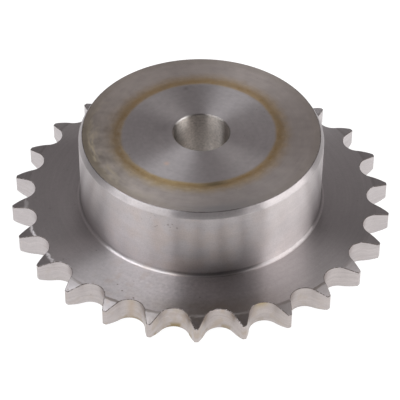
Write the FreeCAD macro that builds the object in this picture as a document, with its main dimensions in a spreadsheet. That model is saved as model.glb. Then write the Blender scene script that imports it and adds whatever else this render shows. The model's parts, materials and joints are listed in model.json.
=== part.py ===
import FreeCAD, Part
import math
import os

import Sketcher

# Plate-wheel sprocket for simplex roller chain, with a hub on one side.
# The real one is turned from a single steel bar end: plate, hub and pilot bore
# come off the lathe together, and a hob then cuts the tooth gaps.
# Frame: the bore's axis is Z, the plate's back face is z = 0, the hub's nose
# points to +Z, and a tooth gap is centred on +X.

# Driving sizes in millimetres and degrees. The chain fits 1/2 x 5/16 inch.
SIZES = {
    "chain_pitch": 12.7,
    "roller_diameter": 8.51,
    "tooth_count": 26,
    # The roller seats in an arc a little larger than itself.
    "seating_clearance": 0.145,
    "seating_angle": 129.0,
    "flank_radius": 28.6,
    "tip_height": 2.32,
    "tooth_width": 7.2,
    # Both faces of the rim fall away in a shallow arc towards the tooth tips.
    "relief_width": 4.2,
    "relief_depth": 1.1,
    "relief_radius": 25.0,
    "hub_diameter": 70.0,
    "overall_length": 30.0,
    "hub_fillet": 1.0,
    # How far in the chamfer takes the hub's nose, and its angle to the axis.
    "nose_chamfer": 1.0,
    "nose_chamfer_angle": 30.0,
    "bore_diameter": 16.0,
    "bore_chamfer": 0.3,
    # The gap's outline is closed this far outside the tip circle.
    "cutter_overrun": 1.5,
}

# Derived sizes, as expressions on the sheet's cells.
PITCH_RADIUS = "(Sizes.chain_pitch / 2 / sin(180 deg / Sizes.tooth_count))"
TIP_RADIUS = f"({PITCH_RADIUS} + Sizes.tip_height)"
SEATING_RADIUS = "(Sizes.roller_diameter / 2 + Sizes.seating_clearance)"
SEAT_CENTRE = f"({PITCH_RADIUS} + Sizes.seating_clearance)"
RELIEF_START = f"({TIP_RADIUS} - Sizes.relief_width)"
HUB_RADIUS = "(Sizes.hub_diameter / 2)"
NOSE_CHAMFER_LENGTH = "(Sizes.nose_chamfer / tan(Sizes.nose_chamfer_angle * 1 deg))"

# Names for the sketcher's numbers: points of a curve, the X axis and the origin.
START, END, CENTRE = 1, 2, 3
X_AXIS = -1
ORIGIN = -1

TOLERANCE = 1e-4


def make_sheet(doc):
    """Write the driving sizes to a spreadsheet, one named cell for each."""
    sheet = doc.addObject("Spreadsheet::Sheet", "Sizes")
    for row, (name, value) in enumerate(SIZES.items(), start=1):
        sheet.set(f"A{row}", name)
        sheet.set(f"B{row}", str(value))
        sheet.setAlias(f"B{row}", name)
    doc.recompute()
    return sheet


def starting_sizes(sheet):
    """Radii worked out from the sheet, for drawing each sketch near its solved shape."""
    pitch_radius = sheet.chain_pitch / 2 / math.sin(math.pi / sheet.tooth_count)
    return {
        "tip": pitch_radius + sheet.tip_height,
        "relief_start": pitch_radius + sheet.tip_height - sheet.relief_width,
        "seat_centre": pitch_radius + sheet.seating_clearance,
        "seating": sheet.roller_diameter / 2 + sheet.seating_clearance,
        "hub": sheet.hub_diameter / 2,
        "chamfer_length": sheet.nose_chamfer / math.tan(math.radians(sheet.nose_chamfer_angle)),
    }


def origin_plane(body, role):
    """The body's own origin plane with the given role."""
    for feature in body.Origin.OriginFeatures:
        if feature.Role == role:
            return feature
    raise ValueError(f"{body.Label} has no plane {role}")


def new_sketch(body, name, role):
    """A sketch on one of the body's origin planes."""
    sketch = body.newObject("Sketcher::SketchObject", name)
    sketch.AttachmentSupport = [(origin_plane(body, role), "")]
    sketch.MapMode = "FlatFace"
    return sketch


def bind(sketch, name, expression, *constraint):
    """Add one named constraint and tie its size to the sheet."""
    index = sketch.addConstraint(Sketcher.Constraint(*constraint))
    sketch.renameConstraint(index, name)
    sketch.setExpression(f"Constraints.{name}", expression)


def arc_between(start, end, radius):
    """Arc of a given radius running counter-clockwise from start to end."""
    chord = end - start
    half = chord.Length / 2
    to_centre = FreeCAD.Vector(-chord.y, chord.x, 0) / chord.Length
    centre = (start + end) / 2 + to_centre * math.sqrt(radius ** 2 - half ** 2)
    circle = Part.Circle(centre, FreeCAD.Vector(0, 0, 1), radius)
    return Part.ArcOfCircle(circle, circle.parameter(start), circle.parameter(end))


def draw_blank_section(body, sheet):
    """Half section of the turned blank: plate, rim reliefs on both faces, and hub."""
    start = starting_sizes(sheet)
    width = sheet.tooth_width
    length = sheet.overall_length
    corners = [
        FreeCAD.Vector(0, 0, 0),
        FreeCAD.Vector(start["relief_start"], 0, 0),
        FreeCAD.Vector(start["tip"], sheet.relief_depth, 0),
        FreeCAD.Vector(start["tip"], width - sheet.relief_depth, 0),
        FreeCAD.Vector(start["relief_start"], width, 0),
        FreeCAD.Vector(start["hub"], width, 0),
        FreeCAD.Vector(start["hub"], length - start["chamfer_length"], 0),
        FreeCAD.Vector(start["hub"] - sheet.nose_chamfer, length, 0),
        FreeCAD.Vector(0, length, 0),
    ]
    back, back_relief, tip, front_relief, face, hub, chamfer, nose, axis = range(len(corners))

    sketch = new_sketch(body, "blank_section", "XZ_Plane")
    for index, corner in enumerate(corners):
        following = corners[(index + 1) % len(corners)]
        if index in (back_relief, front_relief):
            sketch.addGeometry(arc_between(corner, following, sheet.relief_radius))
        else:
            sketch.addGeometry(Part.LineSegment(corner, following))
    for index in range(len(corners)):
        following = (index + 1) % len(corners)
        sketch.addConstraint(Sketcher.Constraint("Coincident", index, END, following, START))

    for flat in (back, face, nose):
        sketch.addConstraint(Sketcher.Constraint("Horizontal", flat))
    for upright in (tip, hub, axis):
        sketch.addConstraint(Sketcher.Constraint("Vertical", upright))
    sketch.addConstraint(Sketcher.Constraint("Coincident", back, START, ORIGIN, START))

    bind(sketch, "tip_radius", TIP_RADIUS, "DistanceX", ORIGIN, START, tip, START, start["tip"])
    bind(sketch, "back_relief_start", RELIEF_START,
         "DistanceX", ORIGIN, START, back, END, start["relief_start"])
    bind(sketch, "front_relief_start", RELIEF_START,
         "DistanceX", ORIGIN, START, face, START, start["relief_start"])
    bind(sketch, "hub_radius", HUB_RADIUS, "DistanceX", ORIGIN, START, hub, START, start["hub"])
    bind(sketch, "back_relief_depth", "Sizes.relief_depth",
         "DistanceY", ORIGIN, START, tip, START, sheet.relief_depth)
    bind(sketch, "front_relief_depth", "Sizes.relief_depth",
         "DistanceY", tip, END, face, START, sheet.relief_depth)
    bind(sketch, "plate_width", "Sizes.tooth_width", "DistanceY", ORIGIN, START, face, START, width)
    bind(sketch, "length", "Sizes.overall_length",
         "DistanceY", ORIGIN, START, nose, START, length)
    bind(sketch, "nose_radius", f"{HUB_RADIUS} - Sizes.nose_chamfer",
         "DistanceX", ORIGIN, START, nose, START, start["hub"] - sheet.nose_chamfer)
    bind(sketch, "nose_chamfer_length", NOSE_CHAMFER_LENGTH,
         "DistanceY", chamfer, START, chamfer, END, start["chamfer_length"])
    bind(sketch, "back_relief_radius", "Sizes.relief_radius",
         "Radius", back_relief, sheet.relief_radius)
    bind(sketch, "front_relief_radius", "Sizes.relief_radius",
         "Radius", front_relief, sheet.relief_radius)
    return sketch


def turn_blank(doc, body, sheet):
    """Revolve the section about the bore's axis."""
    section = draw_blank_section(body, sheet)
    doc.recompute()
    blank = body.newObject("PartDesign::Revolution", "blank")
    blank.Profile = section
    blank.ReferenceAxis = (section, ["V_Axis"])
    blank.Angle = 360
    doc.recompute()
    return blank


def cut_through(doc, body, name, sketch):
    """Cut a sketch on the back face through the whole length, towards the hub's nose."""
    before = body.Shape.Volume
    pocket = body.newObject("PartDesign::Pocket", name)
    pocket.Profile = sketch
    pocket.Type = "ThroughAll"
    pocket.Reversed = True
    doc.recompute()
    if not body.Shape.Volume < before:
        raise ValueError(f"{name} removes nothing")
    return pocket


def drill_bore(doc, body, sheet):
    """The pilot bore, right through plate and hub."""
    sketch = new_sketch(body, "bore_circle", "XY_Plane")
    radius = sheet.bore_diameter / 2
    sketch.addGeometry(Part.Circle(FreeCAD.Vector(0, 0, 0), FreeCAD.Vector(0, 0, 1), radius))
    sketch.addConstraint(Sketcher.Constraint("Coincident", 0, CENTRE, ORIGIN, START))
    bind(sketch, "diameter", "Sizes.bore_diameter", "Diameter", 0, sheet.bore_diameter)
    return cut_through(doc, body, "bore", sketch)


def circle_edges(feature, radius, heights):
    """Names of the feature's circular edges about Z with this radius at these heights."""
    names = []
    for index, edge in enumerate(feature.Shape.Edges, start=1):
        curve = edge.Curve
        if not isinstance(curve, Part.Circle) or abs(curve.Radius - radius) > TOLERANCE:
            continue
        if any(abs(curve.Center.z - height) < TOLERANCE for height in heights):
            names.append(f"Edge{index}")
    if len(names) != len(heights):
        raise ValueError(f"expected {len(heights)} edges of radius {radius}, found {len(names)}")
    return names


def dress_edges(doc, body, kind, name, size, base, radius, heights):
    """Round or chamfer turned edges; kind is Fillet or Chamfer, size names its cell."""
    before = body.Shape.Volume
    dressing = body.newObject(f"PartDesign::{kind}", name)
    dressing.Base = (base, circle_edges(base, radius, heights))
    dressing.setExpression("Radius" if kind == "Fillet" else "Size", f"Sizes.{size}")
    doc.recompute()
    if abs(body.Shape.Volume - before) < TOLERANCE:
        raise ValueError(f"{name} changes nothing")
    return dressing


def draw_tooth_gap(body, sheet):
    """Outline of one tooth gap on +X: roller seat, a convex flank each side, open outside."""
    start = starting_sizes(sheet)
    half_angle = math.radians(sheet.seating_angle / 2)
    outside = start["tip"] + sheet.cutter_overrun
    # From the seat's centre to its upper end, and on to the upper flank's centre.
    to_upper = FreeCAD.Vector(-math.cos(half_angle), math.sin(half_angle), 0)
    centre = FreeCAD.Vector(start["seat_centre"], 0, 0)
    flank_centre = centre + to_upper * (start["seating"] + sheet.flank_radius)
    drop = math.sqrt(sheet.flank_radius ** 2 - (outside - flank_centre.x) ** 2)
    seat_upper = centre + to_upper * start["seating"]
    mouth_upper = FreeCAD.Vector(outside, flank_centre.y - drop, 0)
    seat_lower = FreeCAD.Vector(seat_upper.x, -seat_upper.y, 0)
    mouth_lower = FreeCAD.Vector(mouth_upper.x, -mouth_upper.y, 0)

    sketch = new_sketch(body, "gap_outline", "XY_Plane")
    seat = sketch.addGeometry(arc_between(seat_upper, seat_lower, start["seating"]))
    upper = sketch.addGeometry(arc_between(seat_upper, mouth_upper, sheet.flank_radius))
    lower = sketch.addGeometry(arc_between(mouth_lower, seat_lower, sheet.flank_radius))
    mouth = sketch.addGeometry(Part.LineSegment(mouth_lower, mouth_upper))
    for constraint in (
        ("Tangent", seat, START, upper, START),
        ("Tangent", seat, END, lower, END),
        ("Coincident", lower, START, mouth, START),
        ("Coincident", upper, END, mouth, END),
        ("Vertical", mouth),
        ("Symmetric", seat, START, seat, END, X_AXIS),
        ("Equal", upper, lower),
    ):
        sketch.addConstraint(Sketcher.Constraint(*constraint))
    bind(sketch, "seat_centre", SEAT_CENTRE,
         "DistanceX", ORIGIN, START, seat, CENTRE, start["seat_centre"])
    bind(sketch, "seating_radius", SEATING_RADIUS, "Radius", seat, start["seating"])
    bind(sketch, "seating_angle", "Sizes.seating_angle * 1 deg", "Angle", seat, 2 * half_angle)
    bind(sketch, "flank_radius", "Sizes.flank_radius", "Radius", upper, sheet.flank_radius)
    bind(sketch, "mouth_distance", f"{TIP_RADIUS} + Sizes.cutter_overrun",
         "DistanceX", ORIGIN, START, mouth, START, outside)
    return sketch


def cut_teeth(doc, body, sheet):
    """One tooth gap, repeated round the rim."""
    outline = draw_tooth_gap(body, sheet)
    doc.recompute()
    gap = cut_through(doc, body, "tooth_gap", outline)
    one_gap_cut = body.Shape.Volume
    teeth = body.newObject("PartDesign::PolarPattern", "teeth")
    teeth.Originals = [gap]
    teeth.Axis = (outline, ["N_Axis"])
    teeth.Angle = 360
    teeth.setExpression("Occurrences", "Sizes.tooth_count")
    body.Tip = teeth
    doc.recompute()
    # With a gap missing, the rim would be heavy on that side of the bore.
    balance = body.Shape.Solids[0].CenterOfMass
    if body.Shape.Volume >= one_gap_cut or math.hypot(balance.x, balance.y) > TOLERANCE:
        raise ValueError("some tooth gaps are missing")
    return teeth


def make_sprocket(doc, sheet):
    """The whole sprocket as one body."""
    body = doc.addObject("PartDesign::Body", "sprocket")
    body.Label = "sprocket"
    body.Placement = FreeCAD.Placement()
    blank = turn_blank(doc, body, sheet)
    dress_edges(doc, body, "Fillet", "hub_root", "hub_fillet",
                blank, sheet.hub_diameter / 2, [sheet.tooth_width])
    bore = drill_bore(doc, body, sheet)
    dress_edges(doc, body, "Chamfer", "bore_mouths", "bore_chamfer",
                bore, sheet.bore_diameter / 2, [0, sheet.overall_length])
    cut_teeth(doc, body, sheet)
    return body


def check(doc, bodies):
    """Stop if any object failed, or any body isn't one valid solid."""
    for item in doc.Objects:
        if "Invalid" in item.State or "Error" in item.State:
            raise ValueError(f"{item.Label} failed: {item.State}")
    for body in bodies:
        if body.Shape.isNull() or not body.Shape.isValid():
            raise ValueError(f"{body.Label} has no valid shape")
        if len(body.Shape.Solids) != 1:
            raise ValueError(f"{body.Label} is not one solid")


def main():
    doc = FreeCAD.newDocument("chain_sprocket")
    sheet = make_sheet(doc)
    bodies = [make_sprocket(doc, sheet)]
    doc.recompute()
    check(doc, bodies)
    os.makedirs("parts", exist_ok=True)
    for body in bodies:
        box = body.Shape.BoundBox
        print(f"{body.Label}: volume {body.Shape.Volume:.1f} mm3, "
              f"{len(body.Shape.Faces)} faces, "
              f"x {box.XMin:.2f}..{box.XMax:.2f}, y {box.YMin:.2f}..{box.YMax:.2f}, "
              f"z {box.ZMin:.2f}..{box.ZMax:.2f}")
        body.Shape.exportStep(f"parts/{body.Label}.step")


main()
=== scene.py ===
"""Chain sprocket: a bare steel plate wheel with a hub on one side, turned and hobbed, on a pale floor."""

import json
import math

import bpy
from mathutils import Matrix, Vector


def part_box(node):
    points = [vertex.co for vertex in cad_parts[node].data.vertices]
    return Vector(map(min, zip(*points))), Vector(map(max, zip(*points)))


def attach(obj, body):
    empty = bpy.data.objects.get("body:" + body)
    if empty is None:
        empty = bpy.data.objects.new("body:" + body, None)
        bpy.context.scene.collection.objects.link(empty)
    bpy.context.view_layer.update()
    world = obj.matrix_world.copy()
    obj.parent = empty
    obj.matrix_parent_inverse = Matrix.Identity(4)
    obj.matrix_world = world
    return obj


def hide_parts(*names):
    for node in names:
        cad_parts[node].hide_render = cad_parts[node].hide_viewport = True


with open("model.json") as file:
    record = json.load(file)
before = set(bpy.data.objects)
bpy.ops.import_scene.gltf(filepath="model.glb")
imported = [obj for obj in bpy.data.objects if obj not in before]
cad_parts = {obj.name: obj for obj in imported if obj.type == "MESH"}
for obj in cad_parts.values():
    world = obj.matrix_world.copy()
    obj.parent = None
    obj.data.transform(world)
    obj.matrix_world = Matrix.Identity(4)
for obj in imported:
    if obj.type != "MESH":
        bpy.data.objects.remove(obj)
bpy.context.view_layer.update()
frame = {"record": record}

MM = 0.001

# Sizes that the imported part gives.
_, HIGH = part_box("sprocket")
MOUNTS = {mount["name"]: mount for mount in frame["record"]["mounts"]}
TEETH = MOUNTS["tooth_ring"]["dims"]["count"]
PITCH_RADIUS = MOUNTS["tooth_ring"]["dims"]["pcd_mm"] / 2 * MM
BORE_RADIUS = MOUNTS["bore"]["dims"]["r_mm"] * MM
LENGTH = HIGH.z
TIP_RADIUS = HIGH.y

# The turned blank.
PLATE_WIDTH = 7.2 * MM
HUB_RADIUS = 35 * MM
HUB_FILLET = 1 * MM
NOSE_CHAMFER = 1 * MM
NOSE_CHAMFER_ANGLE = math.radians(30)
BORE_CHAMFER = 0.3 * MM
RELIEF_WIDTH = 4.2 * MM
RELIEF_DEPTH = 1.1 * MM
RELIEF_RADIUS = 25 * MM
RELIEF_START = TIP_RADIUS - RELIEF_WIDTH

# The tooth gap: a seat for the chain's roller, with a convex flank on each side.
ROLLER_RADIUS = 4.255 * MM
SEATING_CLEARANCE = 0.145 * MM
SEATING_RADIUS = ROLLER_RADIUS + SEATING_CLEARANCE
SEATING_HALF_ANGLE = math.radians(64.5)
FLANK_RADIUS = 28.6 * MM
ROOT_RADIUS = PITCH_RADIUS - ROLLER_RADIUS
SEAT_CENTRE = ROOT_RADIUS + SEATING_RADIUS
HALF_PITCH_ANGLE = math.pi / TEETH

# Edges are broken by a file or a deburring wheel.
TOOTH_EDGE_BREAK = 0.16 * MM
TURNED_EDGE_BREAK = 0.1 * MM
TIP_CORNER_RADIUS = 0.25 * MM

# How finely the mesh follows the shape.
TOOTH_COLUMNS = 16
SEAT_STEPS = 9
FLANK_STEPS = 8
TIP_CORNER_STEPS = 4
FILLET_STEPS = 10
WALL_ROWS = 6
PLATE_ROWS = 8
HUB_SIDE_ROWS = 10
NOSE_ROWS = 2
HUB_FACE_ROWS = 14
BORE_ROWS = 10
BACK_ROWS = 16
CREASE_ANGLE = math.radians(25)

# Surface zones, one material slot each.
ZONES = ["hub_face", "hub_nose", "hub_side", "plate_face", "rim_relief", "tooth_gap", "tooth_edge",
         "bore_wall", "back_face"]


def along_arc(centre, radius, start, end, steps):
    """Points on an arc after its start, each with its outward direction from the centre."""
    points = []
    for step in range(1, steps + 1):
        turn = start + (end - start) * step / steps
        direction = Vector((math.cos(turn), math.sin(turn)))
        points.append((centre + radius * direction, direction))
    return points


def turn_at_reach(centre, radius, reach):
    """The turn about an arc's centre at which the arc is this far from the wheel's axis."""
    distance = centre.length
    cosine = (distance ** 2 + radius ** 2 - reach ** 2) / (2 * distance * radius)
    return math.atan2(-centre.y, -centre.x) + math.acos(cosine)


def gap_outline():
    """Half of a tooth gap on +X, from its bottom to the tip circle.

    Each point comes with its direction into the metal."""
    seat = Vector((SEAT_CENTRE, 0))
    outline = [(seat - Vector((SEATING_RADIUS, 0)), Vector((-1, 0)))]
    outline += along_arc(seat, SEATING_RADIUS, math.pi, math.pi - SEATING_HALF_ANGLE, SEAT_STEPS)
    end_direction = outline[-1][1]
    flank = seat + (SEATING_RADIUS + FLANK_RADIUS) * end_direction
    start = math.atan2(-end_direction.y, -end_direction.x)
    relief = turn_at_reach(flank, FLANK_RADIUS, RELIEF_START)
    # A small round joins the flank to the tip circle and touches both.
    tip = turn_at_reach(flank, FLANK_RADIUS - TIP_CORNER_RADIUS, TIP_RADIUS - TIP_CORNER_RADIUS)
    corner = flank + (FLANK_RADIUS - TIP_CORNER_RADIUS) * Vector((math.cos(tip), math.sin(tip)))
    below_relief = round(FLANK_STEPS * (relief - start) / (tip - start))
    arcs = [(flank, FLANK_RADIUS, start, relief, below_relief),
            (flank, FLANK_RADIUS, relief, tip, FLANK_STEPS - below_relief),
            (corner, TIP_CORNER_RADIUS, tip, math.atan2(corner.y, corner.x), TIP_CORNER_STEPS)]
    for arc in arcs:
        outline += [(point, -outward) for point, outward in along_arc(*arc)]
    return outline


def relief_drop(radius):
    """How far the rim's faces have fallen away at a radius.

    The fall is a shallow arc from the relief's start to the tip."""
    if radius <= RELIEF_START:
        return 0.0
    half = math.hypot(RELIEF_WIDTH, RELIEF_DEPTH) / 2
    rise = math.sqrt(RELIEF_RADIUS ** 2 - half ** 2) / (2 * half)
    centre_radius = RELIEF_START + RELIEF_WIDTH / 2 - RELIEF_DEPTH * rise
    centre_height = -RELIEF_DEPTH / 2 - RELIEF_WIDTH * rise
    return -centre_height - math.sqrt(RELIEF_RADIUS ** 2 - (radius - centre_radius) ** 2)


def blank_section():
    """The turned surface: inwards from the root circle in front, over the hub, down the bore and out again.

    Each row is (radius, height, zone of the band that ends here)."""
    rows = [(ROOT_RADIUS - TOOTH_EDGE_BREAK, PLATE_WIDTH, None)]

    def line(radius, height, zone, steps=1):
        from_radius, from_height, _ = rows[-1]
        for step in range(1, steps + 1):
            share = step / steps
            rows.append((from_radius + (radius - from_radius) * share,
                         from_height + (height - from_height) * share, zone))

    # The nose's chamfer, with a narrow facet along each of its edges.
    chamfer_start = LENGTH - NOSE_CHAMFER / math.tan(NOSE_CHAMFER_ANGLE)
    edge = TURNED_EDGE_BREAK
    inwards = edge * math.sin(NOSE_CHAMFER_ANGLE)
    upwards = edge * math.cos(NOSE_CHAMFER_ANGLE)
    line(HUB_RADIUS + HUB_FILLET, PLATE_WIDTH, "plate_face", PLATE_ROWS)
    for step in range(1, FILLET_STEPS + 1):
        turn = math.pi / 2 * step / FILLET_STEPS
        rows.append((HUB_RADIUS + HUB_FILLET * (1 - math.sin(turn)),
                     PLATE_WIDTH + HUB_FILLET * (1 - math.cos(turn)), "hub_side"))
    line(HUB_RADIUS, chamfer_start - edge, "hub_side", HUB_SIDE_ROWS)
    line(HUB_RADIUS - inwards, chamfer_start + upwards, "hub_nose")
    line(HUB_RADIUS - NOSE_CHAMFER + inwards, LENGTH - upwards, "hub_nose", NOSE_ROWS)
    line(HUB_RADIUS - NOSE_CHAMFER - edge, LENGTH, "hub_nose")
    line(BORE_RADIUS + BORE_CHAMFER, LENGTH, "hub_face", HUB_FACE_ROWS)
    line(BORE_RADIUS, LENGTH - BORE_CHAMFER, "bore_wall")
    line(BORE_RADIUS, BORE_CHAMFER, "bore_wall", BORE_ROWS)
    line(BORE_RADIUS + BORE_CHAMFER, 0, "bore_wall")
    line(ROOT_RADIUS - TOOTH_EDGE_BREAK, 0, "back_face", BACK_ROWS)
    return rows


class Shell:
    """Vertices and faces of the sprocket's skin."""

    def __init__(self):
        self.places = []
        self.faces = []
        self.zones = []

    def point(self, radius, angle, height):
        self.places.append(Vector((radius * math.cos(angle), radius * math.sin(angle), height)))
        return len(self.places) - 1

    def quad(self, corners, zone):
        self.faces.append(corners)
        self.zones.append(ZONES.index(zone))

    def strip(self, first, second, zone):
        """Quads between two rows of vertices."""
        for place in range(len(first) - 1):
            self.quad((first[place], first[place + 1], second[place + 1], second[place]), zone)


def turn_blank(shell):
    """The turned faces; returns the front and back rings from which the teeth grow."""
    columns = TEETH * TOOTH_COLUMNS
    angles = [2 * math.pi * column / columns for column in range(columns)]
    rings = []
    for radius, height, zone in blank_section():
        ring = [shell.point(radius, angle, height) for angle in angles]
        ring.append(ring[0])
        if rings:
            shell.strip(rings[-1], ring, zone)
        rings.append(ring)
    return rings[0], rings[-1]


def tooth_face(shell, outline, middle, root_row, side):
    """One face of a tooth, as rows from the root circle to the tip, each from one flank to the other."""
    rows = [root_row]
    for point, inward in outline[1:]:
        inset = point + TOOTH_EDGE_BREAK * inward
        radius = inset.length
        half_width = HALF_PITCH_ANGLE - math.atan2(inset.y, inset.x)
        drop = relief_drop(radius)
        height = PLATE_WIDTH - drop if side == "front" else drop
        row = [shell.point(radius, middle + half_width * (2 * column / TOOTH_COLUMNS - 1), height)
               for column in range(TOOTH_COLUMNS + 1)]
        flat = "plate_face" if side == "front" else "back_face"
        zone = "rim_relief" if radius > RELIEF_START else flat
        if side == "front":
            shell.strip(row, rows[-1], zone)
        else:
            shell.strip(rows[-1], row, zone)
        rows.append(row)
    return rows


def tooth_border(rows):
    """The vertices round a tooth face: up one flank, across the tip and down the other flank."""
    return [row[0] for row in rows] + rows[-1][1:-1] + [row[-1] for row in reversed(rows)]


def tooth_wall_line(outline, middle):
    """The wall's outline for the same vertices, as (radius, angle)."""
    up = [(point.length, math.atan2(point.y, point.x) - HALF_PITCH_ANGLE) for point, _ in outline]
    tip_angle = up[-1][1]
    tip = [(TIP_RADIUS, tip_angle * (1 - 2 * column / TOOTH_COLUMNS)) for column in range(1, TOOTH_COLUMNS)]
    down = [(radius, -angle) for radius, angle in reversed(up)]
    return [(radius, middle + angle) for radius, angle in up + tip + down]


def half_way_round(shell, face_vertex, wall_vertex):
    """A vertex on the quarter round between a tooth's face and its wall."""
    face = shell.places[face_vertex]
    wall = shell.places[wall_vertex]
    share = math.sqrt(0.5)
    shell.places.append(Vector((face.x + (wall.x - face.x) * share, face.y + (wall.y - face.y) * share,
                                wall.z + (face.z - wall.z) * share)))
    return len(shell.places) - 1


def cut_teeth(shell, front_ring, back_ring):
    """The teeth between the gaps: two faces, the wall round them and a small round on each edge."""
    outline = gap_outline()
    shared = {}
    for tooth in range(TEETH):
        middle = 2 * math.pi * (tooth + 0.5) / TEETH
        first = tooth * TOOTH_COLUMNS
        last = first + TOOTH_COLUMNS + 1
        front = tooth_border(tooth_face(shell, outline, middle, front_ring[first:last], "front"))
        back = tooth_border(tooth_face(shell, outline, middle, back_ring[first:last], "back"))
        columns = []
        for top, bottom, (radius, angle) in zip(front, back, tooth_wall_line(outline, middle)):
            # The bottom of a gap is shared with the next tooth.
            if top not in shared:
                drop = relief_drop(radius) + TOOTH_EDGE_BREAK
                wall = [shell.point(radius, angle, drop + (PLATE_WIDTH - 2 * drop) * (1 - row / WALL_ROWS))
                        for row in range(WALL_ROWS + 1)]
                shared[top] = [top, half_way_round(shell, top, wall[0]), *wall,
                               half_way_round(shell, bottom, wall[-1]), bottom]
            columns.append(shared[top])
        for left, right in zip(columns, columns[1:]):
            for row in range(len(left) - 1):
                on_wall = 2 <= row < 2 + WALL_ROWS
                corners = (left[row], left[row + 1], right[row + 1], right[row])
                shell.quad(corners, "tooth_gap" if on_wall else "tooth_edge")


def build_sprocket():
    """The whole sprocket as one closed mesh."""
    shell = Shell()
    front_ring, back_ring = turn_blank(shell)
    cut_teeth(shell, front_ring, back_ring)
    data = bpy.data.meshes.new("sprocket_steel")
    data.from_pydata(shell.places, [], shell.faces)
    data.polygons.foreach_set("material_index", shell.zones)
    data.update()
    return data


def mark_creases(data):
    """Faces shade smoothly within a zone and part at each zone's border."""
    for polygon in data.polygons:
        polygon.use_smooth = True
    data.set_sharp_from_angle(angle=CREASE_ANGLE)
    zones_at = {}
    for polygon in data.polygons:
        for key in polygon.edge_keys:
            zones_at.setdefault(key, set()).add(polygon.material_index)
    for edge in data.edges:
        if len(zones_at[edge.key]) > 1:
            edge.use_edge_sharp = True


sprocket = bpy.data.objects.new("sprocket_steel", build_sprocket())
bpy.context.scene.collection.objects.link(sprocket)
mark_creases(sprocket.data)


class Channel:
    """A socket in a node tree. Arithmetic on it adds Math nodes."""

    def __init__(self, nodes, socket):
        self.nodes = nodes
        self.socket = socket

    def math(self, operation, *terms):
        return self.nodes.node("ShaderNodeMath", {"operation": operation}, *terms)

    def output(self, name):
        """Another output of the same node."""
        return Channel(self.nodes, self.socket.node.outputs[name])

    def __add__(self, other):
        return self.math("ADD", self, other)

    def __radd__(self, other):
        return self.math("ADD", other, self)

    def __sub__(self, other):
        return self.math("SUBTRACT", self, other)

    def __rsub__(self, other):
        return self.math("SUBTRACT", other, self)

    def __mul__(self, other):
        return self.math("MULTIPLY", self, other)

    def __rmul__(self, other):
        return self.math("MULTIPLY", other, self)

    def __truediv__(self, other):
        return self.math("DIVIDE", self, other)

    def __rtruediv__(self, other):
        return self.math("DIVIDE", other, self)


class Nodes:
    """A node tree that is built one node at a time."""

    def __init__(self, tree):
        self.tree = tree
        for old in list(tree.nodes):
            tree.nodes.remove(old)

    def node(self, kind, settings, *inputs, output=0, **named):
        made = self.tree.nodes.new(kind)
        for name, value in settings.items():
            setattr(made, name, value)
        for key, value in [*enumerate(inputs), *named.items()]:
            self.feed(made.inputs[key], value)
        return Channel(self, made.outputs[output])

    def feed(self, socket, value):
        if isinstance(value, Channel):
            self.tree.links.new(value.socket, socket)
        elif hasattr(socket.default_value, "__len__"):
            socket.default_value = (*value, 1)[:len(socket.default_value)]
        else:
            socket.default_value = value

    def blend(self, factor, first, second):
        """Two colours mixed."""
        made = self.tree.nodes.new("ShaderNodeMix")
        made.data_type = "RGBA"
        for key, value in ((0, factor), (6, first), (7, second)):
            self.feed(made.inputs[key], value)
        return Channel(self, made.outputs[2])

    def rise(self, value, low, high):
        """0 below low, 1 above high, smooth between; the other way round if high is the lower."""
        settings = {"interpolation_type": "SMOOTHSTEP"}
        return self.node("ShaderNodeMapRange", settings, value, low, high)


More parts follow.
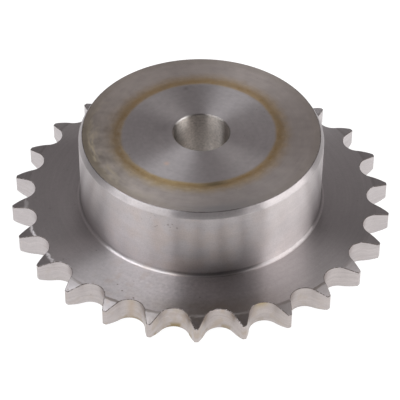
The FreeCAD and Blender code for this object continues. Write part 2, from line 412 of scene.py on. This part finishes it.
class Finish(Nodes):
    """A material made of nodes, with the sprocket's own coordinates in millimetres at hand.

    Angles round the axis are in degrees: the camera looks from -90, and 0 is on its right."""

    def __init__(self, name):
        self.material = bpy.data.materials.new(name)
        self.material.use_nodes = True
        super().__init__(self.material.node_tree)
        self.surface = self.tree.nodes.new("ShaderNodeOutputMaterial").inputs["Surface"]
        place = self.node("ShaderNodeTexCoord", {}, output="Object")
        self.place = self.node("ShaderNodeVectorMath", {"operation": "SCALE"}, place, Scale=1 / MM)
        x = self.node("ShaderNodeSeparateXYZ", {}, self.place, output="X")
        self.height = x.output("Z")
        flat = self.node("ShaderNodeCombineXYZ", {}, x, x.output("Y"), 0)
        self.radius = self.node("ShaderNodeVectorMath", {"operation": "LENGTH"}, flat, output="Value")
        self.outward = self.node("ShaderNodeVectorMath", {"operation": "NORMALIZE"}, flat)

    def tone(self, colour, strength):
        """A colour made lighter or darker."""
        return self.node("ShaderNodeVectorMath", {"operation": "SCALE"}, colour, Scale=strength)

    def towards(self, degrees, width):
        """1 at an angle round the axis, fading to either side."""
        turn = math.radians(degrees)
        direction = (math.cos(turn), math.sin(turn), 0)
        cosine = self.node("ShaderNodeVectorMath", {"operation": "DOT_PRODUCT"}, self.outward, direction,
                           output="Value")
        return self.exponent((cosine - 1) / math.radians(width) ** 2)

    def exponent(self, value):
        return self.node("ShaderNodeMath", {"operation": "EXPONENT"}, value)

    def without_sign(self, value):
        return self.node("ShaderNodeMath", {"operation": "ABSOLUTE"}, value)

    def cloud(self, size, detail=2, shift=0, where=None):
        """Soft noise from 0 to 1 with blotches of about this size in millimetres."""
        where = where or self.place
        moved = self.node("ShaderNodeVectorMath", {"operation": "ADD"}, where, (shift, shift * 0.7, -shift))
        return self.node("ShaderNodeTexNoise", {}, moved, Scale=1 / size, Detail=detail, output="Fac")

    def turned(self, across, along=6, coordinate=None, shift=0, detail=2):
        """Noise drawn out round the axis, as a lathe tool leaves it: across is the lines' spacing."""
        coordinate = coordinate or self.radius
        round_axis = self.node("ShaderNodeVectorMath", {"operation": "SCALE"}, self.outward, Scale=along)
        lines = self.node("ShaderNodeCombineXYZ", {}, 0, 0, coordinate / across + shift)
        where = self.node("ShaderNodeVectorMath", {"operation": "ADD"}, round_axis, lines)
        return self.node("ShaderNodeTexNoise", {}, where, Scale=1, Detail=detail, output="Fac")

    def turning(self, fine, coarse, coordinate=None):
        """A tone near 1 that varies in lines round the axis."""
        narrow = self.turned(0.5, 4, coordinate)
        broad = self.turned(1.5, 2.5, coordinate, shift=7)
        return 1 + (narrow - 0.5) * fine + (broad - 0.5) * coarse

    def spot(self, degrees, radius, height, size):
        """1 at a place on the sprocket, fading over this size in millimetres."""
        turn = math.radians(degrees)
        middle = (radius * math.cos(turn), radius * math.sin(turn), height)
        distance = self.node("ShaderNodeVectorMath", {"operation": "DISTANCE"}, self.place, middle,
                             output="Value")
        return self.rise(distance, size, 0)

    def pits(self, spacing, size, shift=0):
        """1 in a few small round pits, 0 between them."""
        moved = self.node("ShaderNodeVectorMath", {"operation": "ADD"}, self.place, (shift, shift, shift))
        cells = self.node("ShaderNodeTexVoronoi", {}, moved, Scale=1 / spacing, output="Distance")
        chance = self.cloud(spacing * 2, shift=shift + 5)
        reach = self.rise(chance, 0.5, 0.62) * (size / spacing)
        return self.rise(cells, reach, reach * 0.3)

    def bump(self, height, strength, depth):
        """A normal from a height pattern, whose full range is this deep in millimetres."""
        return self.node("ShaderNodeBump", {}, Strength=strength, Distance=depth * MM, Height=height,
                         output="Normal")

    def metal(self, colour, roughness, grain, metallic=1, normal=None):
        """Metal whose grain, from 0 to 1, runs round the axis."""
        shader = self.node("ShaderNodeBsdfPrincipled", {}, output="BSDF")
        sockets = shader.socket.node.inputs
        self.feed(sockets["Base Color"], colour)
        self.feed(sockets["Roughness"], roughness)
        self.feed(sockets["Metallic"], metallic)
        sockets["Anisotropic"].default_value = grain
        sockets["Anisotropic Rotation"].default_value = 0.25
        if normal:
            self.feed(sockets["Normal"], normal)
        return shader

    def done(self, shader):
        self.feed(self.surface, shader)
        return self.material


# Colours, as linear values: bare steel first.
STEEL = (0.496, 0.463, 0.467)
WARM_STEEL = (0.555, 0.483, 0.453)
DULL_STEEL = (0.3, 0.28, 0.28)
RUBBED_STEEL = (0.75, 0.72, 0.73)
DARK_EDGE = (0.15, 0.13, 0.12)
SPECK_BROWN = (0.16, 0.135, 0.12)

# The old oil on the hub's face.
OILED_STEEL = (0.452, 0.402, 0.378)
OILED_LEFT = (0.46, 0.41, 0.345)
OILED_FRONT = (0.41, 0.378, 0.37)
THIN_OIL = (0.32, 0.31, 0.315)
PALE_WISPS = (0.66, 0.585, 0.44)
OLIVE_OIL = (0.315, 0.27, 0.2)
OIL_TINT = (0.43, 0.305, 0.158)
GOLDEN_OIL = (0.5, 0.37, 0.15)
OIL_CRUST = (0.31, 0.203, 0.085)
BLACK_OIL = (0.17, 0.14, 0.085)
ORANGE_RUST = (0.66, 0.46, 0.34)

# Stains on the plate and in the tooth gaps.
PLATE_RUST = (0.38, 0.3, 0.24)
PLATE_STAIN = (0.34, 0.28, 0.215)
HOBBED_FRONT = (0.42, 0.367, 0.336)
GAP_BROWN = (0.42, 0.345, 0.27)
GAP_FOOT_BROWN = (0.27, 0.205, 0.1)
GAP_STREAK = (0.42, 0.32, 0.22)
GAP_YELLOW = (0.38, 0.29, 0.13)

# The bore.
BORE_FILM = (0.59, 0.545, 0.51)
BORE_SPECKS = (0.1, 0.08, 0.06)
# Painted shade on the bore's chamfer, and its painted highlight.
MOUTH_SHADE = (0.25, 0.23, 0.22)
MOUTH_HIGHLIGHT = (0.66, 0.64, 0.62)

# How rough the lathe left the steel across its lines, and how much smoother it is along them.
TURNED_ROUGHNESS = 0.335
TURNED_GRAIN = 1.0

# On the hub's face, in millimetres: where the clean disc ends, and the middle of the pale wisps.
DISC_RADIUS = 21.6
WISP_RADIUS = 31.2

# Lines this far apart don't vary from the bore to the rim, only round the axis.
WHOLE_FACE = 1000

# Single pits on the hub's side: angle, height and size.
HUB_SIDE_PITS = ((-103.8, 25.2, 0.55), (-101.9, 25.6, 0.4), (-102.8, 24.4, 0.35), (-99.7, 24.5, 0.5))


def finish_hub_face():
    """Faced steel: a clean disc, a ragged ring of dried oil round it and a film of old oil outside that."""
    finish = Finish("hub_face")
    wander = finish.turned(WHOLE_FACE, 1.6, detail=3) - 0.5
    washed = finish.cloud(2.5, 4, shift=3) - 0.5
    edge = DISC_RADIUS + finish.towards(-155, 30) * 1.1 - finish.towards(-15, 38) * 1.15
    edge = edge - finish.towards(148, 18) * 0.4 + wander * 1.2
    beyond = finish.radius - edge + washed * finish.towards(-165, 30)
    film = finish.rise(beyond, -0.3, 0.9)
    tone = finish.turning(0.12, 0.12)

    # The ring is ochre, washed out on its outer side, with a darker crust along its middle.
    ragged = finish.cloud(1.1, 4, shift=13) - 0.5
    streak = finish.turned(0.8, 9, shift=11, detail=3) - 0.5
    tint = finish.rise(beyond, -0.5, 1.3) * finish.rise(beyond + washed * 2.5 + ragged, 6.4, 1.2)
    middle = finish.turned(WHOLE_FACE, 5, shift=2, detail=3) * 1.8 + 0.85
    middle = middle + finish.towards(-155, 40) * 0.4 + finish.towards(60, 28) * 0.3
    away = (beyond - middle + ragged * 2.2) / (0.85 + washed)
    crust = finish.exponent(away * away * -1)
    crust = crust * (0.45 + finish.towards(-90, 50) * 0.25 + washed * 1.1 + ragged * 1.5 + streak)
    crust = crust * (1 - finish.towards(-108, 14) * 0.4 - finish.towards(125, 45) * 0.2)
    ochre = finish.blend(finish.towards(-112, 25) * 0.7, OIL_TINT, GOLDEN_OIL)
    ochre = finish.tone(ochre, 1 + ragged * 0.5 + streak * 0.6 - finish.towards(135, 32) * 0.14)
    dark = finish.towards(-79, 6) * finish.rise(beyond, -0.3, 0.8) * finish.rise(beyond, 2.6, 1.6)

    # On the left the film is olive towards the edge, with pale wisps. At the front it is thin there.
    left = finish.towards(-162, 24)
    mottling = 1 + (finish.cloud(3.2, 4, shift=20) - 0.5) * (0.35 + left * 0.8)
    rim = finish.rise(finish.radius + washed * 2, 31, 32.6)
    olive = rim * (0.2 + left * 0.75)
    waves = finish.without_sign(finish.turned(4.5, 3.2, shift=6, detail=4) - 0.5)
    streaks = finish.rise(finish.turned(1.3, 7, shift=4, detail=4), 0.5, 0.66)
    arc = finish.rise(finish.without_sign(finish.radius - WISP_RADIUS + washed * 2), 0.5, 0.1)
    arc = arc * finish.towards(-166, 9)
    wisps = finish.rise(waves, 0.07, 0.01) * 0.7 + streaks * 0.7 + arc * 0.8
    wisps = wisps * left * finish.rise(finish.radius, 28.5, 30.8) * finish.rise(finish.radius, 33, 32)
    angle_patch = finish.towards(-80, 12) * finish.rise(finish.radius + washed * 2, 30, 32.5)

    # Painted light makes the clean disc a little brighter at the front and on the right.
    painted_brightness = finish.towards(-80, 12) * 0.11 + finish.towards(0, 17) * 0.09
    patchy = 1 + (finish.cloud(1.3, 3, shift=29) - 0.5) * 0.28
    steel = finish.tone(STEEL, tone * patchy * (0.87 + painted_brightness))

    # The film's own colours, then the ring over them, and a broken dark border along the hub's edge.
    oiled = finish.blend(left * 0.5, OILED_STEEL, OILED_LEFT)
    oiled = finish.blend(finish.towards(-60, 25) * 0.6, oiled, OILED_FRONT)
    oiled = finish.blend(olive * 0.85, finish.tone(oiled, mottling), OLIVE_OIL)
    oiled = finish.blend(angle_patch * 0.8, oiled, THIN_OIL)
    oiled = finish.blend(wisps * 0.6, oiled, PALE_WISPS)
    border = finish.rise(finish.radius, 33.55, 33.9)
    border = border * finish.rise(finish.cloud(1.1, 3, shift=18), 0.42, 0.6)
    oiled = finish.blend(tint * (0.85 - finish.towards(-170, 18) * 0.25), oiled, ochre)
    oiled = finish.blend(crust, oiled, OIL_CRUST)
    oiled = finish.blend(border * 0.6, oiled, SPECK_BROWN)
    oiled = finish.tone(finish.blend(dark * 0.75, oiled, BLACK_OIL), tone)

    # Spots and specks.
    specks = finish.pits(2.6, 0.28) * 0.5
    orange = finish.spot(-124, 16.8, 30, 1.3) * 0.5
    steel = finish.blend(orange, steel, ORANGE_RUST)
    steel = finish.blend(finish.spot(172, 11.5, 30, 3.4) * 0.3, steel, DULL_STEEL)
    steel = finish.blend(finish.spot(104, 20.3, 30, 1.3) * 0.4, steel, SPECK_BROWN)
    steel = finish.blend(specks, steel, SPECK_BROWN)
    oiled = finish.blend(specks, oiled, SPECK_BROWN)

    relief = finish.bump(tone, 0.25, 0.02)
    clean = finish.metal(steel, 0.4, 0.85, normal=relief)
    dull = finish.metal(oiled, 0.5 + washed * 0.1, 0.6, normal=relief)
    return finish.done(finish.node("ShaderNodeMixShader", {}, film * 0.95, clean, dull))


def finish_hub_nose():
    """The chamfer round the hub's nose: bright steel, a little uneven, with painted highlights and painted
    shade at set angles round the axis.
    """
    finish = Finish("hub_nose")
    tone = finish.turning(0.12, 0.1, finish.height)
    # Painted highlights at -131, -121 and -66 degrees round the axis, and painted shade at -152 and -44
    # degrees.
    tone = tone * (0.96 + finish.towards(-131, 6) * 0.5 + finish.towards(-121, 6) * 0.15
                   + finish.towards(-66, 3) * 0.55)
    tone = tone * (1 - finish.towards(-152, 8) * 0.24 - finish.towards(-44, 9) * 0.14)
    tone = tone * (1 + (finish.cloud(0.6, 3, shift=15) - 0.5) * 0.3)
    # Painted shade darkens the broken edge towards the hub's face.
    tone = tone * (1 - finish.rise(finish.height, 29.88, 29.93) * 0.45)
    specks = finish.pits(1.5, 0.25, shift=4) * 0.5
    colour = finish.blend(specks, finish.tone(STEEL, tone), SPECK_BROWN)
    return finish.done(finish.metal(colour, TURNED_ROUGHNESS, TURNED_GRAIN))


def finish_hub_side():
    """The hub's turned side, with pits near the nose at the front left, painted shade in the fillet and low
    at the front, and painted light and shade in bands round the axis.
    """
    finish = Finish("hub_side")
    tone = finish.turning(0.1, 0.1, finish.height) * (1 + (finish.cloud(3, 4, shift=2) - 0.5) * 0.16)
    tone = tone * (1 + (finish.cloud(0.35, 2, shift=6) - 0.5) * 0.34)

    # Painted shade: the fillet is darker on its upper half and all over at the front, and the side is
    # darker low down at the front.
    fillet = finish.rise(finish.height, 8.5, 7.7) * finish.rise(finish.height, 7.25, 7.5)
    tone = tone * (1 - fillet * (0.29 - finish.towards(-138, 14) * 0.12 + finish.towards(-86, 10) * 0.18))
    tone = tone * (1 - finish.towards(-79, 7) * finish.rise(finish.height, 13, 9) * 0.2)
    tone = tone * (1 - finish.towards(-75, 8) * finish.rise(finish.height, 8.4, 8) * 0.3)

    # Painted light and painted shade in bands round the axis, with other bands low down than high up, and
    # painted highlights high up at the left and right edges.
    low = finish.rise(finish.height, 20, 9)
    tone = tone * (1 - finish.towards(-106, 6) * 0.13 - low * finish.towards(-162, 8) * 0.12
                   + low * finish.towards(-52, 9) * 0.19)
    tone = tone * (1 - finish.towards(-83, 10) * finish.rise(finish.height, 18, 14) * 0.09)
    high = finish.rise(finish.height, 14, 23)
    tone = tone * (1 + high * (finish.towards(-178, 5) * 0.5 + finish.towards(-3, 5) * 0.45))

    patch = finish.towards(-106, 10) * finish.rise(finish.height, 21, 25)
    specks = finish.pits(1.2, 0.36, shift=9) * (patch * 0.9 + 0.06)
    for degrees, height, size in HUB_SIDE_PITS:
        specks = specks + finish.spot(degrees, HUB_RADIUS / MM, height, size) * 0.75
    warm = finish.rise(finish.cloud(6, 3, shift=31), 0.4, 0.65) * finish.towards(-100, 30) * 0.7
    colour = finish.blend(warm, finish.tone(STEEL, tone * 1.08), finish.tone(WARM_STEEL, tone))
    colour = finish.blend(specks * 0.85, colour, SPECK_BROWN)
    relief = finish.bump(tone, 0.15, 0.02)
    return finish.done(finish.metal(colour, TURNED_ROUGHNESS, TURNED_GRAIN, normal=relief))


def plate_colour(finish, tone):
    """Steel with scattered specks, a trace of rust at the front left and an old stain at the front."""
    grain = finish.cloud(0.35, 2, shift=6)
    mottling = finish.cloud(1, 3, shift=27) - 0.5
    tone = tone * (1 + (grain - 0.5) * 0.2) * (1 + mottling * (0.1 + finish.towards(-98, 22) * 0.45))
    specks = finish.pits(2.2, 0.46) * (0.2 + finish.towards(-112, 20) * 0.7)
    rust = finish.rise(finish.cloud(2.4, 4, shift=14), 0.5, 0.68) * finish.towards(-119, 7) * 0.35
    stain = finish.towards(-85, 14) * finish.rise(finish.radius, 43, 48) * finish.cloud(3, 4, shift=40)
    colour = finish.blend(rust, finish.tone(STEEL, tone * 0.87), PLATE_RUST)
    colour = finish.blend(stain * 0.8, colour, PLATE_STAIN)
    return finish.blend(specks, colour, SPECK_BROWN)


def finish_plate_face():
    """The plate's turned front face, with painted light in places and painted shade in others."""
    finish = Finish("plate_face")
    tone = finish.turning(0.15, 0.12)
    relief = finish.bump(tone, 0.15, 0.02)
    # Painted light at the front near the hub and in a narrow band at -144 degrees, and painted shade on the
    # right and at the left towards the rim.
    painted_lighting = finish.towards(-91, 8) * finish.rise(finish.radius, 50, 40) * 0.32
    painted_lighting = painted_lighting + finish.towards(-144, 4) * 0.18
    painted_shade = finish.towards(-33, 18) * 0.17
    painted_shade = painted_shade + finish.towards(-162, 9) * finish.rise(finish.radius, 39, 44) * 0.1
    tone = tone * (1 + painted_lighting - painted_shade)
    dark_line, rubbed = rim_marks(finish)
    colour = finish.blend(dark_line, plate_colour(finish, tone), SPECK_BROWN)
    colour = finish.blend(rubbed, colour, RUBBED_STEEL)
    return finish.done(finish.metal(colour, TURNED_ROUGHNESS, TURNED_GRAIN, 1 - rubbed * 0.8, relief))


def rim_marks(finish):
    """A dark line and rubbed metal where the teeth's slanting faces leave the plate."""
    sway = finish.cloud(1.4, 3, shift=8) - 0.5
    beyond = finish.radius - RELIEF_START / MM - 0.15
    line = finish.rise(finish.without_sign(beyond + sway * 0.8), 0.6, 0.25)
    dark_line = line * (0.15 + finish.towards(-118, 16) * 0.7 + finish.towards(-52, 8) * 0.6)
    smear = finish.rise(finish.without_sign(beyond + sway * 1.8), 0.7, 0.15)
    smear = smear * finish.rise(sway, -0.35, -0.05)
    rubbed = smear * (finish.towards(-155, 12) + finish.towards(-84, 8) * 0.3)
    return dark_line, rubbed


def finish_rim_relief():
    """The teeth's slanting faces, with painted light and painted shade round the axis."""
    finish = Finish("rim_relief")
    # Painted shade at the front and front right, and painted light on the right.
    painted_lighting = 0.9 - finish.towards(-86, 10) * 0.14 - finish.towards(-53, 9) * 0.07
    painted_lighting = painted_lighting + finish.towards(-15, 10) * 0.14
    tone = finish.turning(0.16, 0.08) * painted_lighting
    dark_line, rubbed = rim_marks(finish)
    colour = finish.blend(dark_line, plate_colour(finish, tone), SPECK_BROWN)
    colour = finish.blend(rubbed, colour, RUBBED_STEEL)
    return finish.done(finish.metal(colour, TURNED_ROUGHNESS, TURNED_GRAIN, 1 - rubbed * 0.8))


def finish_tooth_gap():
    """The gaps' walls: wavy lines left by the hob, with brown stains at the front."""
    finish = Finish("tooth_gap")
    sway = finish.cloud(3.2, 2, shift=3) * 2.2
    along = finish.node("ShaderNodeVectorMath", {"operation": "MULTIPLY"}, finish.place, (0.12, 0.12, 0))
    lines = finish.node("ShaderNodeCombineXYZ", {}, 0, 0, (finish.height + sway) / 0.55)
    where = finish.node("ShaderNodeVectorMath", {"operation": "ADD"}, along, lines)
    marks = finish.cloud(1, 3, where=where)
    tone = (1 + (marks - 0.5) * 0.42) * (1 + (finish.cloud(0.4, 2, shift=6) - 0.5) * 0.2)
    brown = finish.rise(finish.cloud(2.6, 3, shift=17) + finish.towards(-92, 22) * 0.12, 0.55, 0.75)
    brown = brown * (0.25 + finish.towards(-88, 24) * 0.75)
    low = finish.rise(finish.height, 2.2, 0.6) * finish.rise(finish.cloud(4, 2, shift=25), 0.5, 0.6)
    colour = finish.blend(finish.towards(-80, 38) * 0.6, finish.tone(STEEL, tone * 1.08),
                          finish.tone(HOBBED_FRONT, tone))
    colour = finish.blend(brown * 0.5, colour, GAP_BROWN)
    colour = finish.blend(low * finish.towards(-96, 16) * 0.9, colour, GAP_FOOT_BROWN)
    colour = finish.blend(finish.towards(-112, 0.9) * 0.45, colour, GAP_STREAK)
    colour = finish.blend(finish.spot(-68.8, 48.8, 7.4, 3.4) * 0.75, colour, GAP_YELLOW)
    specks = finish.pits(1.8, 0.25, shift=2) * 0.4
    colour = finish.blend(specks, colour, SPECK_BROWN)
    return finish.done(finish.metal(colour, 0.42, 0, normal=finish.bump(marks, 0.3, 0.04)))


def finish_tooth_edge():
    """The teeth's edges: a dark, rough line."""
    finish = Finish("tooth_edge")
    wear = finish.rise(finish.cloud(0.7, 3), 0.5, 0.68)
    colour = finish.blend(wear * 0.8, DARK_EDGE, STEEL)
    return finish.done(finish.metal(colour, 0.5, 0))


def finish_bore_wall():
    """The pilot bore: brownish and speckled, with painted light and shade in bands round the axis, and a
    chamfer painted dark with a painted highlight at the back left.
    """
    finish = Finish("bore_wall")
    tone = finish.turning(0.3, 0.1, finish.height) * (1 + (finish.cloud(0.7, 4) - 0.5) * 0.9)
    # Painted light at 46 and 126 degrees and painted shade at 72 and 157 degrees, in bands round the bore.
    tone = tone * (1 + finish.towards(46, 8) * 0.15 + finish.towards(126, 8) * 0.15
                   - finish.towards(72, 8) * 0.1 - finish.towards(157, 12) * 0.28)
    specks = finish.pits(1.2, 0.3, shift=13) * 0.5
    colour = finish.blend(specks, finish.tone(BORE_FILM, tone), BORE_SPECKS)
    mouth_start = LENGTH / MM - BORE_CHAMFER / MM
    mouth = finish.rise(finish.height, mouth_start - 0.02, mouth_start)
    # Painted shade darkens the chamfer, and a painted highlight lightens it at the back left.
    angle_patch = finish.towards(133, 15)
    chamfer = finish.blend(angle_patch, MOUTH_SHADE, MOUTH_HIGHLIGHT)
    colour = finish.blend(mouth * (0.6 + angle_patch * 0.4), colour, chamfer)
    return finish.done(finish.metal(colour, 0.42, TURNED_GRAIN))


def finish_back_face():
    """The plate's back: plain turned steel."""
    finish = Finish("back_face")
    tone = finish.turning(0.14, 0.12)
    colour = finish.blend(finish.pits(3.2, 0.4) * 0.4, finish.tone(STEEL, tone), SPECK_BROWN)
    return finish.done(finish.metal(colour, 0.38, 0.9, normal=finish.bump(tone, 0.15, 0.02)))


MATERIALS = {
    "hub_face": finish_hub_face(),
    "hub_nose": finish_hub_nose(),
    "hub_side": finish_hub_side(),
    "plate_face": finish_plate_face(),
    "rim_relief": finish_rim_relief(),
    "tooth_gap": finish_tooth_gap(),
    "tooth_edge": finish_tooth_edge(),
    "bore_wall": finish_bore_wall(),
    "back_face": finish_back_face(),
}
for zone in ZONES:
    sprocket.data.materials.append(MATERIALS[zone])

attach(sprocket, "root")
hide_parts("sprocket")

# The camera's place comes from fitting the outline in the photo.
CAMERA_AZIMUTH = math.radians(0.884)
CAMERA_ELEVATION = math.radians(41.797)
CAMERA_DISTANCE = 564.78 * MM
CAMERA_ROLL = math.radians(0.526)
CAMERA_TARGET = Vector((-0.174 * MM, -2.109 * MM, 6 * MM))
FOCAL_PIXELS = 1935.62
PHOTO_WIDTH = 400
SENSOR_WIDTH = 36


def place_camera():
    """The photo's camera."""
    data = bpy.data.cameras.new("camera")
    data.sensor_width = SENSOR_WIDTH
    data.lens = FOCAL_PIXELS * SENSOR_WIDTH / PHOTO_WIDTH
    data.clip_start = 10 * MM
    data.clip_end = 100
    camera = bpy.data.objects.new("camera", data)
    bpy.context.scene.collection.objects.link(camera)
    back = Vector((math.sin(CAMERA_AZIMUTH) * math.cos(CAMERA_ELEVATION),
                   -math.cos(CAMERA_AZIMUTH) * math.cos(CAMERA_ELEVATION), math.sin(CAMERA_ELEVATION)))
    camera.location = CAMERA_TARGET + back * CAMERA_DISTANCE
    camera.rotation_mode = "QUATERNION"
    roll = Matrix.Rotation(CAMERA_ROLL, 3, "Z").to_quaternion()
    camera.rotation_quaternion = (-back).to_track_quat("-Z", "Y") @ roll
    bpy.context.scene.camera = camera


place_camera()

WHITE = (1, 1, 1)
WARM_LIGHT = (1.01, 1, 0.99)
COOL_LIGHT = (0.975, 1, 1.03)

# The softboxes: azimuth and elevation of the middle, width and height, roll, radiance and colour.
SOFTBOXES = {
    "left_softbox": (-170.3, 62.3, 0.68, 0.4, 48.6, 5.5, COOL_LIGHT),
    "right_softbox": (-5.65, 20.36, 2.08, 0.95, -95.7, 1.44, WARM_LIGHT),
    "right_low_softbox": (-15, 13, 0.8, 0.3, 0, 2.9, WARM_LIGHT),
    "left_low_softbox": (-132, 18, 0.64, 0.25, 0, 2.6, WARM_LIGHT),
    "back_strip": (111, 52.9, 0.1, 1.62, -58.1, 0.42, WHITE),
}
LAMP_DISTANCE = 1.0


def hang_softbox(name, azimuth, elevation, width, height, roll, radiance, colour):
    """A rectangular lamp that faces the sprocket."""
    lamp = bpy.data.lights.new(name, "AREA")
    lamp.shape = "RECTANGLE"
    lamp.color = colour
    lamp.size = width * LAMP_DISTANCE
    lamp.size_y = height * LAMP_DISTANCE
    lamp.energy = radiance * math.pi * lamp.size * lamp.size_y
    hung = bpy.data.objects.new(name, lamp)
    bpy.context.scene.collection.objects.link(hung)
    turn = math.radians(azimuth)
    rise = math.radians(elevation)
    direction = Vector((math.cos(turn) * math.cos(rise), math.sin(turn) * math.cos(rise), math.sin(rise)))
    level = Vector((-math.sin(turn), math.cos(turn), 0))
    upright = direction.cross(level)
    spin = math.radians(roll)
    across = math.cos(spin) * level + math.sin(spin) * upright
    along = -math.sin(spin) * level + math.cos(spin) * upright
    axes = Matrix((across, along, direction)).transposed().to_4x4()
    hung.matrix_world = Matrix.Translation(direction * LAMP_DISTANCE) @ axes


for name, setting in SOFTBOXES.items():
    hang_softbox(name, *setting)

# The floor, a hair below the sprocket so that the two don't touch.
FLOOR_WIDTH = 4.0
FLOOR_GAP = 0.05 * MM
FLOOR_PAINT = (0.8, 0.79, 0.78)
FLOOR_GLOW = 1.26
GLOW_SHARE = 0.75


def lay_floor():
    """A pale floor that reads as white to the camera and in the metal, and keeps a faint shadow."""
    half = FLOOR_WIDTH / 2
    data = bpy.data.meshes.new("floor")
    corners = [(-half, -half, 0), (half, -half, 0), (half, half, 0), (-half, half, 0)]
    data.from_pydata(corners, [], [(0, 1, 2, 3)])
    floor = bpy.data.objects.new("floor", data)
    bpy.context.scene.collection.objects.link(floor)
    floor.location.z = -FLOOR_GAP
    paint = Finish("pale_floor")
    matt = paint.node("ShaderNodeBsdfDiffuse", {}, FLOOR_PAINT)
    glow = paint.node("ShaderNodeEmission", {}, WHITE, FLOOR_GLOW)
    camera = paint.node("ShaderNodeLightPath", {}, output="Is Camera Ray")
    metal = camera.math("MAXIMUM", camera.output("Is Glossy Ray"), camera.output("Is Transmission Ray"))
    seen = camera.math("MAXIMUM", camera, metal)
    data.materials.append(paint.done(paint.node("ShaderNodeMixShader", {}, seen * GLOW_SHARE, matt, glow)))


lay_floor()

ROOM_WALLS = (0.27, 0.254, 0.256)
ROOM_CEILING = (0.22, 0.207, 0.209)
ROOM_CORNER = (0.053, 0.049, 0.049)


def light_room():
    """A white background for the camera, and a dim room for everything else.

    The room is darkest low behind the camera."""
    world = bpy.data.worlds.new("studio")
    world.use_nodes = True
    nodes = Nodes(world.node_tree)
    across = nodes.node("ShaderNodeTexCoord", {}, output="Generated")
    y = nodes.node("ShaderNodeSeparateXYZ", {}, across, output="Y")
    corner = nodes.rise(y, 0.1, -0.3) * nodes.rise(y.output("Z"), 0.6, 0.4)
    overhead = nodes.rise(y.output("Z"), 0.6, 0.95)
    room = nodes.blend(overhead, ROOM_WALLS, ROOM_CEILING)
    room = nodes.blend(corner, room, ROOM_CORNER)
    camera = nodes.node("ShaderNodeLightPath", {}, output="Is Camera Ray")
    colour = nodes.blend(camera, room, WHITE)
    background = nodes.node("ShaderNodeBackground", {}, colour, 1)
    nodes.feed(nodes.tree.nodes.new("ShaderNodeOutputWorld").inputs["Surface"], background)
    bpy.context.scene.world = world


light_room()
bpy.context.scene.view_settings.view_transform = "Standard"
